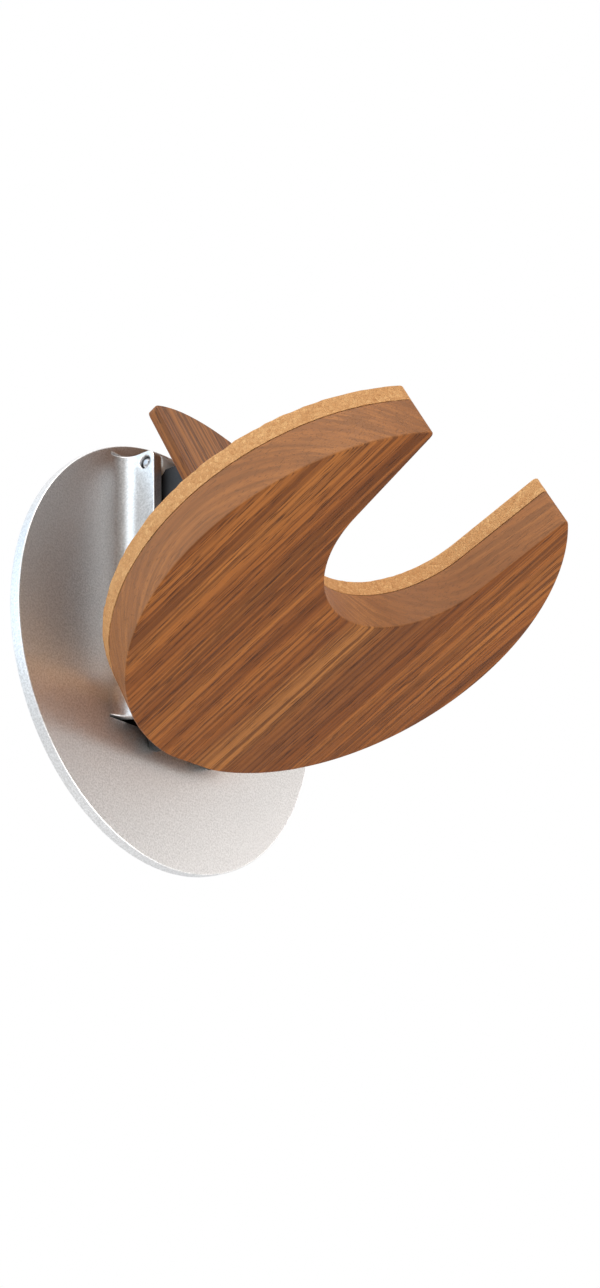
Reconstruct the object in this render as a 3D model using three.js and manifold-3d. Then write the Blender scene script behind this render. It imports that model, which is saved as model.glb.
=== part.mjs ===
// Wall guitar hanger: a round sheet-metal face plate with two folded ears, and a walnut and cork
// yoke that hangs on a cross pin between the ears and leans back on the plate.
// Millimetres. The wall is the plane y = 0, the front looks along -Y, and +Z is up.
// The origin is the centre of the wall plate's back face.

import * as THREE from 'three';
import { mergeVertices } from 'three/addons/utils/BufferGeometryUtils.js';
import Module from 'manifold-3d';

const wasm = await Module();
wasm.setup();

// ---------- driving dimensions ----------
const GAP = 0.3;                 // clearance between touching pieces

const WALL_PLATE_RADIUS = 45;
const WALL_PLATE_THICK = 2.5;
const WALL_SCREW_HEIGHTS = [34, -10];
const PLATE_SCREW_RADIUS = 37;   // circle of the three screws that hold the face plate
const PLATE_SCREW_ANGLES = [30, 150, 270];

const FACE_RADIUS = 55;
const SHEET_THICK = 3;
const FACE_BEVEL = 0.4;
const FACE_Y = -(WALL_PLATE_THICK + GAP + SHEET_THICK);   // front of the face plate

const EAR_INNER_X = 17;          // the window between the ears is twice this wide
const EAR_OUTER_X = EAR_INNER_X + SHEET_THICK;
const EAR_REACH = 10;            // how far the ears stand in front of the face plate
const EAR_TOP = 47.2;
const EAR_BOTTOM = -21.5;
const EAR_CORNER = 2.2;
const EAR_FILLET = 4.5;          // bend radius at the foot of each ear
const RELIEF = 0.6;              // bend relief slot

const PIN_OUT = 7;               // cross pin, measured out from the face plate
const PIN_HEIGHT = 44.3;
const PIN_RADIUS = 1.4;
const SPACER_RADIUS = 3.2;

const TILT = THREE.MathUtils.degToRad(26.5);   // the fork rises towards its tips
const BOARD_RADIUS = 56;
const BOARD_OUT = 53.6;          // centre of the fork's underside, out from the face plate
const BOARD_HEIGHT = -4.2;
const WOOD_THICK = 11;
const CORK_THICK = 4.5;
const WOOD_BEVEL = 0.4;
const SLOT_RADIUS = 26;          // round end of the neck slot
const SLOT_CENTRE = -24.5;       // in front of the board's centre
const SLOT_MOUTH = 28.4;         // half width at the tips
const TIP_ROUND = 2;
const BACK_CUT = 4.2;            // the fork's back edge stays this far off the face plate
const NOTCH_HALF = 21;           // notch that clears the ears
const NOTCH_REACH = EAR_REACH + 0.5;
const LIP_TOP = -22.5;

const REST_HALF = 20;            // back rest, half width of its front face
const REST_BACK_HALF = 10.5;     // half width of the flat middle of its back
const REST_FRONT = 10.5;         // behind the board's centre
const REST_THICK = 6;
const REST_EDGE = 2.65;          // thickness at its side edges
const REST_TOP = 81.6;           // above the fork's underside
const REST_TOP_RADIUS = 40;
const REST_CORNER = 3;
const REST_BEVEL = 0.5;

const CARRIER_HALF = 15.8;
const CARRIER_BACK = 0.5;
const CARRIER_TOP = 42.7;
const KNUCKLE_HALF = 9;
const KNUCKLE_RADIUS = 3.4;
const WEB = 4;                   // carrier wall under each screw head

const SCREW_RADIUS = 1.4;
const SCREW_HEAD_RADIUS = 2.9;
const SCREW_HEAD_HEIGHT = 1.8;
const REST_SCREW = { x: 4.4, height: 44, tip: 12.2 };
const FORK_SCREW = { x: 11.6, back: 30, tip: 3 };

const DOWEL = { x: 8, radius: 1.7, low: 4.6, high: 18 };
const BUMPER = { x: 10, height: -25.3, radius: 2.2 };

// ---------- materials ----------
const metal = (color, roughness) => new THREE.MeshStandardMaterial({ color, roughness, metalness: 1 });
const matte = (color, roughness) => new THREE.MeshStandardMaterial({ color, roughness, metalness: 0 });
const material = {
  plate: metal(0xb9b4b4, 0.45),
  steel: metal(0xa8abb0, 0.35),
  zinc: metal(0x9c9ca0, 0.5),
  black: matte(0x17181a, 0.6),
  rubber: matte(0x222222, 0.9),
  nylon: matte(0xd9d9d6, 0.6),
  walnut: matte(0x8a5a3a, 0.55),
  birch: matte(0xd8bd92, 0.7),
  cork: matte(0xc98f56, 0.9),
};

// ---------- geometry helpers ----------
const outY = (out) => FACE_Y - out;

function solid(geometry) {
  const bare = geometry.clone();
  bare.deleteAttribute('normal');
  bare.deleteAttribute('uv');
  const merged = mergeVertices(bare, 1e-4);
  const source = new wasm.Mesh({
    numProp: 3,
    vertProperties: new Float32Array(merged.attributes.position.array),
    triVerts: new Uint32Array(merged.index.array),
  });
  return new wasm.Manifold(source);
}

function geometryOf(manifold) {
  const mesh = manifold.getMesh();
  const geometry = new THREE.BufferGeometry();
  geometry.setAttribute('position', new THREE.BufferAttribute(new Float32Array(mesh.vertProperties), 3));
  geometry.setIndex(new THREE.BufferAttribute(new Uint32Array(mesh.triVerts), 1));
  geometry.computeVertexNormals();
  return geometry;
}

function subtractAll(base, cutters) {
  return cutters.reduce((rest, cutter) => rest.subtract(solid(cutter)), base);
}

// The outline as points at least a small step apart, so that curves meet without doubled points.
const OUTLINE_STEP = 0.4;
function outline(shape, curveSegments) {
  const kept = [];
  for (const point of shape.getPoints(curveSegments)) {
    if (kept.length === 0 || point.distanceTo(kept.at(-1)) > OUTLINE_STEP) {
      kept.push(point);
    }
  }
  if (kept.at(-1).distanceTo(kept[0]) <= OUTLINE_STEP) {
    kept.pop();
  }
  const result = new THREE.Shape(kept);
  result.holes = shape.holes;
  return result;
}

// Extrudes an outline; with a bevel, the outline stays the widest section.
function prism(shape, depth, bevel = 0, curveSegments = 24) {
  const geometry = new THREE.ExtrudeGeometry(outline(shape, curveSegments), {
    depth: depth - 2 * bevel,
    bevelEnabled: bevel > 0,
    bevelThickness: bevel,
    bevelSize: bevel,
    bevelOffset: -bevel,
    bevelSegments: 1,
    curveSegments,
  });
  return geometry.translate(0, 0, bevel);
}

// Turns an outline drawn as (x, z) and extruded along +Z so that it stands, its depth along -Y.
const stand = (geometry, yBack) => geometry.rotateX(Math.PI / 2).translate(0, yBack, 0);

// Extrudes an outline drawn as (out, height) along X, centred on x.
function sidePrism(shape, width, x = 0, curveSegments = 6) {
  const geometry = prism(shape, width, 0, curveSegments);
  geometry.applyMatrix4(new THREE.Matrix4().set(
    0, 0, -1, x + width / 2,
    -1, 0, 0, FACE_Y,
    0, 1, 0, 0,
    0, 0, 0, 1,
  ));
  return geometry;
}

// A rod along X, Y or Z between two coordinates.
function rod(axis, radius, from, to, at, segments = 16) {
  const geometry = new THREE.CylinderGeometry(radius, radius, to - from, segments);
  const middle = (from + to) / 2;
  if (axis === 'x') {
    return geometry.rotateZ(Math.PI / 2).translate(middle, at[0], at[1]);
  }
  if (axis === 'y') {
    return geometry.translate(at[0], middle, at[1]);
  }
  return geometry.rotateX(Math.PI / 2).translate(at[0], at[1], middle);
}

function box(low, high) {
  const size = high.map((value, i) => value - low[i]);
  const middle = high.map((value, i) => (value + low[i]) / 2);
  return new THREE.BoxGeometry(...size).translate(...middle);
}

// A ring along X between two coordinates, bored for the pin.
function ringAlongX(outer, inner, from, to, at) {
  return geometryOf(solid(rod('x', outer, from, to, at)).subtract(
    solid(rod('x', inner, from - 1, to + 1, at))));
}

// A screw along +Y whose head starts at y = 0: the head stands towards -Y, the shank points to +Y.
function screw(shankRadius, length, headRadius, headHeight, countersunk = false) {
  const tip = shankRadius * 1.6;
  const head = countersunk
    ? [[0, 0], [headRadius, 0], [headRadius, 0.3], [shankRadius, headHeight]]
    : [[0, -headHeight], [headRadius * 0.75, -headHeight], [headRadius, -headHeight * 0.55],
      [headRadius, 0], [shankRadius, 0]];
  const profile = [...head, [shankRadius, length - tip], [0, length]];
  const body = new THREE.LatheGeometry(profile.map(([r, y]) => new THREE.Vector2(r, y)), 16);
  const top = countersunk ? 0 : -headHeight;
  const arm = headRadius * 0.55;
  const recess = [[arm, 0.45], [0.45, arm]].map(([x, z]) => box([-x, top - 1, -z], [x, top + 0.9, z]));
  return geometryOf(subtractAll(solid(body), recess));
}

// ---------- board frame: y runs back along the fork, z is its upward normal ----------
const yoke = new THREE.Group();
yoke.position.set(0, outY(BOARD_OUT), BOARD_HEIGHT);
yoke.rotation.x = -TILT;
yoke.updateMatrix();
const toBoard = yoke.matrix.clone().invert();
const inBoard = (geometry) => geometry.applyMatrix4(toBoard);

// A point of the board frame as (out, height) in the wall frame.
function boardPoint(back, up) {
  return new THREE.Vector2(
    BOARD_OUT - back * Math.cos(TILT) - up * Math.sin(TILT),
    BOARD_HEIGHT - back * Math.sin(TILT) + up * Math.cos(TILT),
  );
}
// Where a line of constant back, or of constant up, meets a height or a reach in the wall frame.
const atHeight = (back, height) => boardPoint(
  back, (height - BOARD_HEIGHT + back * Math.sin(TILT)) / Math.cos(TILT));
const atReach = (up, out) => boardPoint((BOARD_OUT - up * Math.sin(TILT) - out) / Math.cos(TILT), up);

const scene = new THREE.Group();
scene.add(yoke);

function add(parent, name, geometry, finish) {
  const mesh = new THREE.Mesh(geometry, finish);
  mesh.name = name;
  parent.add(mesh);
  return mesh;
}

// ---------- wall plate and its screws ----------
const plateScrews = PLATE_SCREW_ANGLES.map((angle) => {
  const a = THREE.MathUtils.degToRad(angle);
  return [PLATE_SCREW_RADIUS * Math.cos(a), PLATE_SCREW_RADIUS * Math.sin(a)];
});
const PLATE_SCREW_LENGTH = 4.8;
const PLATE_SCREW_HEAD = 1.6;

function wallPlate() {
  const shape = new THREE.Shape().absarc(0, 0, WALL_PLATE_RADIUS, 0, 2 * Math.PI, false);
  for (const height of WALL_SCREW_HEIGHTS) {
    shape.holes.push(new THREE.Path().absarc(0, height, 2 + GAP, 0, 2 * Math.PI, true));
  }
  const blank = solid(stand(prism(shape, WALL_PLATE_THICK, 0, 24), 0));
  const seats = plateScrews.map(([x, z]) => {
    const profile = [[0, 1], [SCREW_HEAD_RADIUS + GAP + 0.1, 1], [SCREW_HEAD_RADIUS + GAP + 0.1, -0.3],
      [SCREW_RADIUS + GAP, -PLATE_SCREW_HEAD - 0.2], [SCREW_RADIUS + GAP, -4], [0, -4]];
    const points = profile.map(([r, y]) => new THREE.Vector2(r, y)).reverse();
    return new THREE.LatheGeometry(points, 16).translate(x, 0, z);
  });
  return geometryOf(subtractAll(blank, seats));
}
add(scene, 'wall_plate', wallPlate(), material.black);

WALL_SCREW_HEIGHTS.forEach((height, i) => {
  const geometry = screw(2, 32, 4, 2.2).translate(0, -WALL_PLATE_THICK - GAP, height);
  add(scene, `wall_screw_${i + 1}`, geometry, material.zinc);
});

plateScrews.forEach(([x, z], i) => {
  const geometry = screw(SCREW_RADIUS, PLATE_SCREW_LENGTH, SCREW_HEAD_RADIUS, PLATE_SCREW_HEAD, true);
  add(scene, `plate_screw_${i + 1}`, geometry.rotateX(Math.PI).translate(x, 0, z), material.zinc);
});

// ---------- face plate with its folded ears ----------
const WINDOW_HALF = EAR_OUTER_X + EAR_FILLET;

// The ears' side outline as (out, height), from behind the sheet to the rounded front corners.
function earOutline() {
  const shape = new THREE.Shape();
  const front = EAR_REACH - EAR_CORNER;
  shape.moveTo(-SHEET_THICK - 1, EAR_BOTTOM);
  shape.lineTo(front, EAR_BOTTOM);
  shape.absarc(front, EAR_BOTTOM + EAR_CORNER, EAR_CORNER, -Math.PI / 2, 0, false);
  shape.absarc(front, EAR_TOP - EAR_CORNER, EAR_CORNER, 0, Math.PI / 2, false);
  shape.lineTo(-SHEET_THICK - 1, EAR_TOP);
  return shape;
}

// One fold in plan: the edge of the sheet, the concave bend and the ear.
function foldOutline(side) {
  const shape = new THREE.Shape();
  const reach = outY(EAR_REACH + 1);
  shape.moveTo(side * EAR_INNER_X, FACE_Y + SHEET_THICK);
  shape.lineTo(side * EAR_INNER_X, reach);
  shape.lineTo(side * EAR_OUTER_X, reach);
  shape.absarc(side * WINDOW_HALF, outY(EAR_FILLET), EAR_FILLET,
    side > 0 ? Math.PI : 0, Math.PI / 2, side > 0);
  shape.lineTo(side * (WINDOW_HALF + 1), FACE_Y);
  shape.lineTo(side * (WINDOW_HALF + 1), FACE_Y + SHEET_THICK);
  return shape;
}

function facePlate() {
  const disc = new THREE.Shape().absarc(0, 0, FACE_RADIUS, 0, 2 * Math.PI, false);
  const sheet = solid(stand(prism(disc, SHEET_THICK, FACE_BEVEL, 36), FACE_Y + SHEET_THICK));
  const window = solid(box(
    [-WINDOW_HALF, FACE_Y - 1, EAR_BOTTOM - RELIEF],
    [WINDOW_HALF, FACE_Y + SHEET_THICK + 1, EAR_TOP + RELIEF]));
  const side = solid(sidePrism(earOutline(), 2 * WINDOW_HALF + 4));
  const folds = [-1, 1].map((end) => solid(
    prism(foldOutline(end), EAR_TOP - EAR_BOTTOM + 2, 0, 4).translate(0, 0, EAR_BOTTOM - 1)).intersect(side));
  const plate = folds.reduce((body, fold) => body.add(fold), sheet.subtract(window));
  const threads = plateScrews.map(([x, z]) => rod(
    'y', SCREW_RADIUS + GAP, FACE_Y + 0.7, FACE_Y + SHEET_THICK + 1, [x, z]));
  const pinHole = rod('x', PIN_RADIUS + GAP, -EAR_OUTER_X - 1, EAR_OUTER_X + 1, [outY(PIN_OUT), PIN_HEIGHT]);
  return geometryOf(subtractAll(plate, [...threads, pinHole]));
}
add(scene, 'face_plate', facePlate(), material.plate);

// ---------- cross pin and spacers ----------
const pinAt = [outY(PIN_OUT), PIN_HEIGHT];
add(scene, 'pivot_pin', rod('x', PIN_RADIUS, -EAR_OUTER_X, EAR_OUTER_X, pinAt, 20), material.steel);
for (const [name, side] of [['spacer_left', -1], ['spacer_right', 1]]) {
  const [from, to] = [side * (KNUCKLE_HALF + GAP), side * (EAR_INNER_X - GAP)].sort((a, b) => a - b);
  add(scene, name, ringAlongX(SPACER_RADIUS, PIN_RADIUS + GAP, from, to, pinAt), material.nylon);
}

// ---------- fork ----------
// The fork's outline: a disc with a round-ended neck slot that flares to two pointed tips.
function forkOutline() {
  const tipAngle = Math.asin(SLOT_MOUTH / BOARD_RADIUS);
  const tipFront = -BOARD_RADIUS * Math.cos(tipAngle);
  const flare = Math.atan2(SLOT_MOUTH - SLOT_RADIUS, SLOT_CENTRE - tipFront);
  const round = TIP_ROUND / BOARD_RADIUS;
  const shape = new THREE.Shape();
  const start = -Math.PI / 2 + tipAngle + round;
  shape.absarc(0, 0, BOARD_RADIUS, start, Math.PI * 1.5 - tipAngle - round, false);
  const inner = tipFront + TIP_ROUND;
  shape.quadraticCurveTo(-SLOT_MOUTH, tipFront, -SLOT_MOUTH + TIP_ROUND * Math.sin(flare), inner);
  shape.absarc(0, SLOT_CENTRE, SLOT_RADIUS, Math.PI - flare, flare, true);
  shape.lineTo(SLOT_MOUTH - TIP_ROUND * Math.sin(flare), inner);
  shape.quadraticCurveTo(SLOT_MOUTH, tipFront,
    BOARD_RADIUS * Math.cos(start), BOARD_RADIUS * Math.sin(start));
  return shape;
}
const FAR = 200;
const behindBackCut = () => inBoard(box([-FAR, outY(BACK_CUT), -FAR], [FAR, FAR, FAR]));
const earNotch = () => inBoard(box(
  [-NOTCH_HALF, outY(NOTCH_REACH), LIP_TOP], [NOTCH_HALF, FAR, FAR]));
const corkBase = WOOD_THICK + GAP;
const restMiddle = REST_FRONT + REST_THICK / 2;
const dowelHole = (x) => rod('z', DOWEL.radius + GAP, DOWEL.low - 0.6, DOWEL.high + 0.6, [x, restMiddle]);
const forkScrewHole = (x) => rod('z', SCREW_RADIUS + GAP, FORK_SCREW.tip - 0.4, FAR, [x, FORK_SCREW.back]);
const sides = [['left', -1], ['right', 1]];

function forkBoard() {
  const blank = solid(prism(forkOutline(), WOOD_THICK, WOOD_BEVEL, 24));
  const holes = sides.flatMap(([, side]) => [dowelHole(side * DOWEL.x), forkScrewHole(side * FORK_SCREW.x)]);
  return geometryOf(subtractAll(blank, [behindBackCut(), earNotch(), ...holes]));
}

function forkCork() {
  const blank = solid(prism(forkOutline(), CORK_THICK, WOOD_BEVEL, 24).translate(0, 0, corkBase));
  const seat = box([-NOTCH_HALF, REST_FRONT - GAP, 0], [NOTCH_HALF, FAR, FAR]);
  return geometryOf(subtractAll(blank, [behindBackCut(), seat]));
}
add(yoke, 'fork_board', forkBoard(), material.walnut);
add(yoke, 'fork_cork', forkCork(), material.cork);

// ---------- back rest ----------
function backRest() {
  const edge = REST_TOP - REST_TOP_RADIUS
    + Math.sqrt(REST_TOP_RADIUS ** 2 - (REST_HALF - REST_CORNER) ** 2) - REST_CORNER * 0.4;
  const front = new THREE.Shape();
  front.moveTo(-REST_HALF, corkBase);
  front.lineTo(REST_HALF, corkBase);
  front.lineTo(REST_HALF, edge - REST_CORNER);
  const sweep = Math.asin((REST_HALF - REST_CORNER) / REST_TOP_RADIUS);
  const shoulder = REST_TOP - REST_TOP_RADIUS * (1 - Math.cos(sweep));
  front.quadraticCurveTo(REST_HALF, edge, REST_HALF - REST_CORNER, shoulder);
  front.absarc(0, REST_TOP - REST_TOP_RADIUS, REST_TOP_RADIUS,
    Math.PI / 2 - sweep, Math.PI / 2 + sweep, false);
  front.quadraticCurveTo(-REST_HALF, edge, -REST_HALF, edge - REST_CORNER);
  const plan = new THREE.Shape();
  plan.moveTo(-REST_HALF, REST_FRONT);
  plan.lineTo(REST_HALF, REST_FRONT);
  plan.lineTo(REST_HALF, REST_FRONT + REST_EDGE);
  plan.lineTo(REST_BACK_HALF, REST_FRONT + REST_THICK);
  plan.lineTo(-REST_BACK_HALF, REST_FRONT + REST_THICK);
  plan.lineTo(-REST_HALF, REST_FRONT + REST_EDGE);
  const slab = solid(stand(prism(front, REST_THICK, REST_BEVEL, 8), REST_FRONT + REST_THICK));
  const body = slab.intersect(solid(prism(plan, REST_TOP + 5)));
  const cutters = sides.flatMap(([, side]) => [
    dowelHole(side * DOWEL.x),
    rod('y', SCREW_RADIUS + GAP, REST_SCREW.tip - 0.4, FAR, [side * REST_SCREW.x, REST_SCREW.height]),
  ]);
  return geometryOf(subtractAll(body, cutters));
}
add(yoke, 'back_rest', backRest(), material.walnut);

for (const [name, side] of sides) {
  const at = [side * DOWEL.x, restMiddle];
  add(yoke, `dowel_${name}`, rod('z', DOWEL.radius, DOWEL.low, DOWEL.high, at), material.birch);
}

// ---------- carrier: the block that hangs on the pin and holds the wood ----------
const carrierFront = REST_FRONT + REST_THICK + GAP;
const carrierEdge = REST_FRONT + REST_EDGE + GAP;

// The room in front of the carrier, shaped like the back of the rest.
function restRoom() {
  const plan = new THREE.Shape();
  plan.moveTo(-FAR, -FAR);
  plan.lineTo(FAR, -FAR);
  plan.lineTo(FAR, carrierEdge);
  plan.lineTo(REST_HALF, carrierEdge);
  plan.lineTo(REST_BACK_HALF, carrierFront);
  plan.lineTo(-REST_BACK_HALF, carrierFront);
  plan.lineTo(-REST_HALF, carrierEdge);
  plan.lineTo(-FAR, carrierEdge);
  return prism(plan, FAR);
}

function carrier() {
  const side = new THREE.Shape([
    new THREE.Vector2(CARRIER_BACK, CARRIER_TOP),
    new THREE.Vector2(CARRIER_BACK, LIP_TOP + GAP),
    new THREE.Vector2(NOTCH_REACH - GAP, LIP_TOP + GAP),
    atReach(corkBase, NOTCH_REACH - GAP),
    boardPoint(carrierEdge, corkBase),
    atHeight(carrierEdge, CARRIER_TOP),
  ]);
  let block = solid(inBoard(sidePrism(side, 2 * CARRIER_HALF)));
  const neckLow = CARRIER_TOP - 4;
  block = block.add(solid(inBoard(rod('x', KNUCKLE_RADIUS, -KNUCKLE_HALF, KNUCKLE_HALF, pinAt, 20))));
  block = block.add(solid(inBoard(box(
    [-KNUCKLE_HALF, outY(PIN_OUT + KNUCKLE_RADIUS), neckLow],
    [KNUCKLE_HALF, outY(PIN_OUT - KNUCKLE_RADIUS), PIN_HEIGHT]))));
  const cutters = [
    restRoom(),
    inBoard(rod('x', PIN_RADIUS + GAP, -KNUCKLE_HALF - 1, KNUCKLE_HALF + 1, pinAt, 20)),
  ];
  for (const [, s] of sides) {
    const [from, to] = [s * KNUCKLE_HALF, s * (CARRIER_HALF + 1)].sort((a, b) => a - b);
    cutters.push(inBoard(rod('x', SPACER_RADIUS + GAP, from, to, pinAt, 20)));
    const restAt = [s * REST_SCREW.x, REST_SCREW.height];
    const forkAt = [s * FORK_SCREW.x, FORK_SCREW.back];
    cutters.push(rod('y', SCREW_RADIUS + GAP, 0, FAR, restAt));
    cutters.push(rod('y', SCREW_HEAD_RADIUS + GAP, carrierFront + WEB, FAR, restAt));
    cutters.push(rod('z', SCREW_RADIUS + GAP, 0, FAR, forkAt));
    cutters.push(rod('z', SCREW_HEAD_RADIUS + GAP, corkBase + WEB, FAR, forkAt));
  }
  return geometryOf(subtractAll(block, cutters));
}
add(yoke, 'carrier', carrier(), material.black);

for (const [name, side] of sides) {
  const restSeat = carrierFront + WEB + GAP;
  const restScrew = screw(SCREW_RADIUS, restSeat - REST_SCREW.tip, SCREW_HEAD_RADIUS, SCREW_HEAD_HEIGHT)
    .rotateX(Math.PI).translate(side * REST_SCREW.x, restSeat, REST_SCREW.height);
  add(yoke, `rest_screw_${name}`, restScrew, material.zinc);
  const forkSeat = corkBase + WEB + GAP;
  const forkScrew = screw(SCREW_RADIUS, forkSeat - FORK_SCREW.tip, SCREW_HEAD_RADIUS, SCREW_HEAD_HEIGHT)
    .rotateX(-Math.PI / 2).translate(side * FORK_SCREW.x, FORK_SCREW.back, forkSeat);
  add(yoke, `fork_screw_${name}`, forkScrew, material.zinc);
}

// ---------- bumpers on the fork's back lip ----------
for (const [name, side] of sides) {
  const pad = rod('y', BUMPER.radius, outY(BACK_CUT - GAP), outY(GAP), [side * BUMPER.x, BUMPER.height]);
  add(yoke, `bumper_${name}`, inBoard(pad), material.rubber);
}

export default scene;
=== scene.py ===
"""Wall guitar hanger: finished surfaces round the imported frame.

Lengths are in millimetres until a mesh is built. Lamps and the camera are placed in metres.
"""

import math

import bmesh
import bpy
import numpy as np
from mathutils import Matrix, Vector, noise
from mathutils.geometry import delaunay_2d_cdt


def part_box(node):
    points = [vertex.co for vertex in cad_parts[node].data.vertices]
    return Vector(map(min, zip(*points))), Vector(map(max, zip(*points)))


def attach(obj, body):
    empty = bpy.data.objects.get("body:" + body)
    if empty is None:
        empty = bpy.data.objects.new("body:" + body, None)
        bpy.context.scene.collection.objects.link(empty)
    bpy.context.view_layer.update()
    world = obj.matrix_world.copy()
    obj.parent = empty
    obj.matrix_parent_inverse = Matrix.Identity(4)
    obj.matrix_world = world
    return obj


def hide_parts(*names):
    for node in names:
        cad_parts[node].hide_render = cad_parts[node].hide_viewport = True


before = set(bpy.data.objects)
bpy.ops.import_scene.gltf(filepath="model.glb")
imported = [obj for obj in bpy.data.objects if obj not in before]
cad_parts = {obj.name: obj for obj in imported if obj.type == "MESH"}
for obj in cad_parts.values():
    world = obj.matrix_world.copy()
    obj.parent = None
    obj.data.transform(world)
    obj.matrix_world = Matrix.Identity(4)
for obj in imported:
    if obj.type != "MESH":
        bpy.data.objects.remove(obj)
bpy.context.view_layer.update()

MM = 0.001
WALL_UNIT, YOKE = "wall_unit", "yoke"
SIDES = (("left", -1), ("right", 1))


# ---------- sizes of the real pieces ----------
def high_side(node, axis):
    """The high side of a CAD node's box, in millimetres."""
    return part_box(node)[1][axis] / MM


FACE_RADIUS = high_side("face_plate", 0)
FACE_BACK = high_side("face_plate", 1)
SHEET = 3.0                      # thickness of the folded sheet
FACE_FRONT = FACE_BACK - SHEET
EAR_OUTER = high_side("pivot_pin", 0)
EAR_REACH = 10.0                 # in front of the sheet's face
EAR_TOP, EAR_BOTTOM = 47.2, -21.5
EAR_CORNER = 2.2
BEND_INSIDE = 4.5                # radius on the hollow side of the bend
RELIEF = 0.6                     # gap between an ear's ends and the window's
BEND_X = EAR_OUTER + BEND_INSIDE
BEND_LENGTH = (BEND_INSIDE + SHEET / 2) * math.pi / 2
FLAP = BEND_LENGTH + EAR_REACH - BEND_INSIDE

PIN_OUT, PIN_HEIGHT, PIN_RADIUS = 7.0, 44.3, 1.4
PIN_AT = (FACE_FRONT - PIN_OUT, PIN_HEIGHT)
PIN_INSET = 0.25                 # of its ends from the ears' outer faces
PIN_CHAMFER = 0.7
PIN_HOLE = 1.65
SPACER_RADIUS, SPACER_INNER_X = 3.2, 9.25
SPACER_GAP_TO_PIN, SPACER_GAP_TO_EAR = 0.1, 0.05

WALL_RADIUS = high_side("wall_plate", 0)
WALL_FRONT = -2.75
WALL_SCREW_HEIGHTS = (34.0, -10.0)
WALL_SCREW_HOLE = 2.3
PLATE_SCREW_CIRCLE = 37.0
PLATE_SCREW_ANGLES = (30, 150, 270)
PLATE_SCREW_SEAT, PLATE_SCREW_HOLE = 3.3, 1.7

# Screws are (shank radius, length from the seat or flat top, head radius, head height).
WALL_SCREW = (2.0, 32, 4.0, 2.2)
PLATE_SCREW = (1.4, 4.8, 2.9, 1.6)
REST_SCREW = (1.4, 8.9, 2.9, 1.8)
FORK_SCREW = (1.4, 12.6, 2.9, 1.8)
HEAD_RIM = 0.3                   # straight edge of a countersunk head
DRIVE_HALF_WIDTH, DRIVE_DEPTH = 0.42, 0.9

TILT = math.radians(26.5)
BOARD_AT = Vector((0, -59.4, -4.2))
BOARD_RADIUS = 56.0
WOOD = 11.0
BOARD_THICK = 15.8               # walnut and cork together
SLOT_RADIUS, SLOT_CENTRE, SLOT_MOUTH = 26.0, -24.5, 28.4
TIP_ROUND = 2.0
BACK_CUT = 4.2                   # from the face plate to the fork's flat back
NOTCH_HALF, NOTCH_REACH, LIP_TOP = 21.0, 10.5, -22.5
REST_HALF, REST_BACK_HALF = 20.0, 10.5
REST_FRONT, REST_THICK = 10.5, 6.0
REST_EDGE = 2.65                 # thickness at the side edges
REST_TOP, REST_TOP_RADIUS, REST_CORNER = 81.6, 40.0, 3.0
FAR = 200.0                      # beyond every piece

# Pieces that come in pairs: x is the right one's. BACK, UP, LOW and HIGH are in the fork's frame.
DOWEL_X, DOWEL_BACK = 8.0, 13.5
DOWEL_RADIUS, DOWEL_LOW, DOWEL_HIGH = 1.7, 4.6, 18
REST_SCREW_X, REST_SCREW_BACK, REST_SCREW_UP = 4.4, 21.1, 44
FORK_SCREW_X, FORK_SCREW_BACK, FORK_SCREW_UP = 11.6, 30, 15.6
BUMPER_RADIUS, BUMPER_LENGTH, BUMPER_DOME = 2.2, 4.1, 0.7
BUMPER_X, BUMPER_HEIGHT = 10, -25.3

# Radii of rounded edges, and how many facets cross them or a bend_curve.
SHEET_EDGE, WALL_EDGE, WOOD_EDGE, CORK_EDGE = 0.35, 0.3, 0.5, 0.6
EDGE_STEPS, CURVE_STEPS = 3, 6

# The camera stands below, in front and to the left of the hanger.
CAMERA_AT = Vector((-0.3164, -0.2756, -0.1619))
CAMERA_AZIMUTH, CAMERA_ELEVATION, CAMERA_ROLL = (math.radians(a) for a in (53.76, 21.58, -2.24))
CAMERA_SENSOR, CAMERA_LENS = 36.0, 49.858


# ---------- meshes ----------
def build(name, points, faces, material, sharp=35, bevel=0.0):
    """A smooth, closed object from points in millimetres. bevel rounds its sharp edges."""
    mesh = bpy.data.meshes.new(name)
    mesh.from_pydata((np.asarray(points) * MM).tolist(), [], [tuple(int(i) for i in f) for f in faces])
    cleaned = bmesh.new()
    cleaned.from_mesh(mesh)
    bmesh.ops.remove_doubles(cleaned, verts=cleaned.verts, dist=0.004 * MM)
    bmesh.ops.recalc_face_normals(cleaned, faces=cleaned.faces)
    cleaned.to_mesh(mesh)
    cleaned.free()
    piece = bpy.data.objects.new(name, mesh)
    bpy.context.scene.collection.objects.link(piece)
    mesh.materials.append(material)
    finish_surface(piece, sharp, bevel)
    return piece


def shade_smooth(mesh, sharp):
    """Smooth shading, with edges kept sharp above an angle in degrees."""
    mesh.polygons.foreach_set("use_smooth", [True] * len(mesh.polygons))
    mesh.set_sharp_from_angle(angle=math.radians(sharp))


def finish_surface(piece, sharp=35, bevel=0.0):
    """Smooth shading for a piece, and rounded edges where bevel asks for them."""
    shade_smooth(piece.data, sharp)
    if bevel:
        add_bevel(piece, bevel)
    normals = piece.modifiers.new("face_weighted", "WEIGHTED_NORMAL")
    normals.keep_sharp = True


def add_bevel(piece, width):
    """Rounds a piece's sharp edges by a width in millimetres."""
    rounding = piece.modifiers.new("rounding", "BEVEL")
    rounding.width = width * MM
    rounding.segments = EDGE_STEPS
    rounding.limit_method = "ANGLE"
    rounding.angle_limit = math.radians(32)
    rounding.harden_normals = False


def join(points_and_faces):
    """Several point and face lists as one."""
    points, faces, count = [], [], 0
    for some, their_faces in points_and_faces:
        points.append(some)
        faces += [tuple(count + i for i in f) for f in their_faces]
        count += len(some)
    return np.vstack(points), faces


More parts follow.
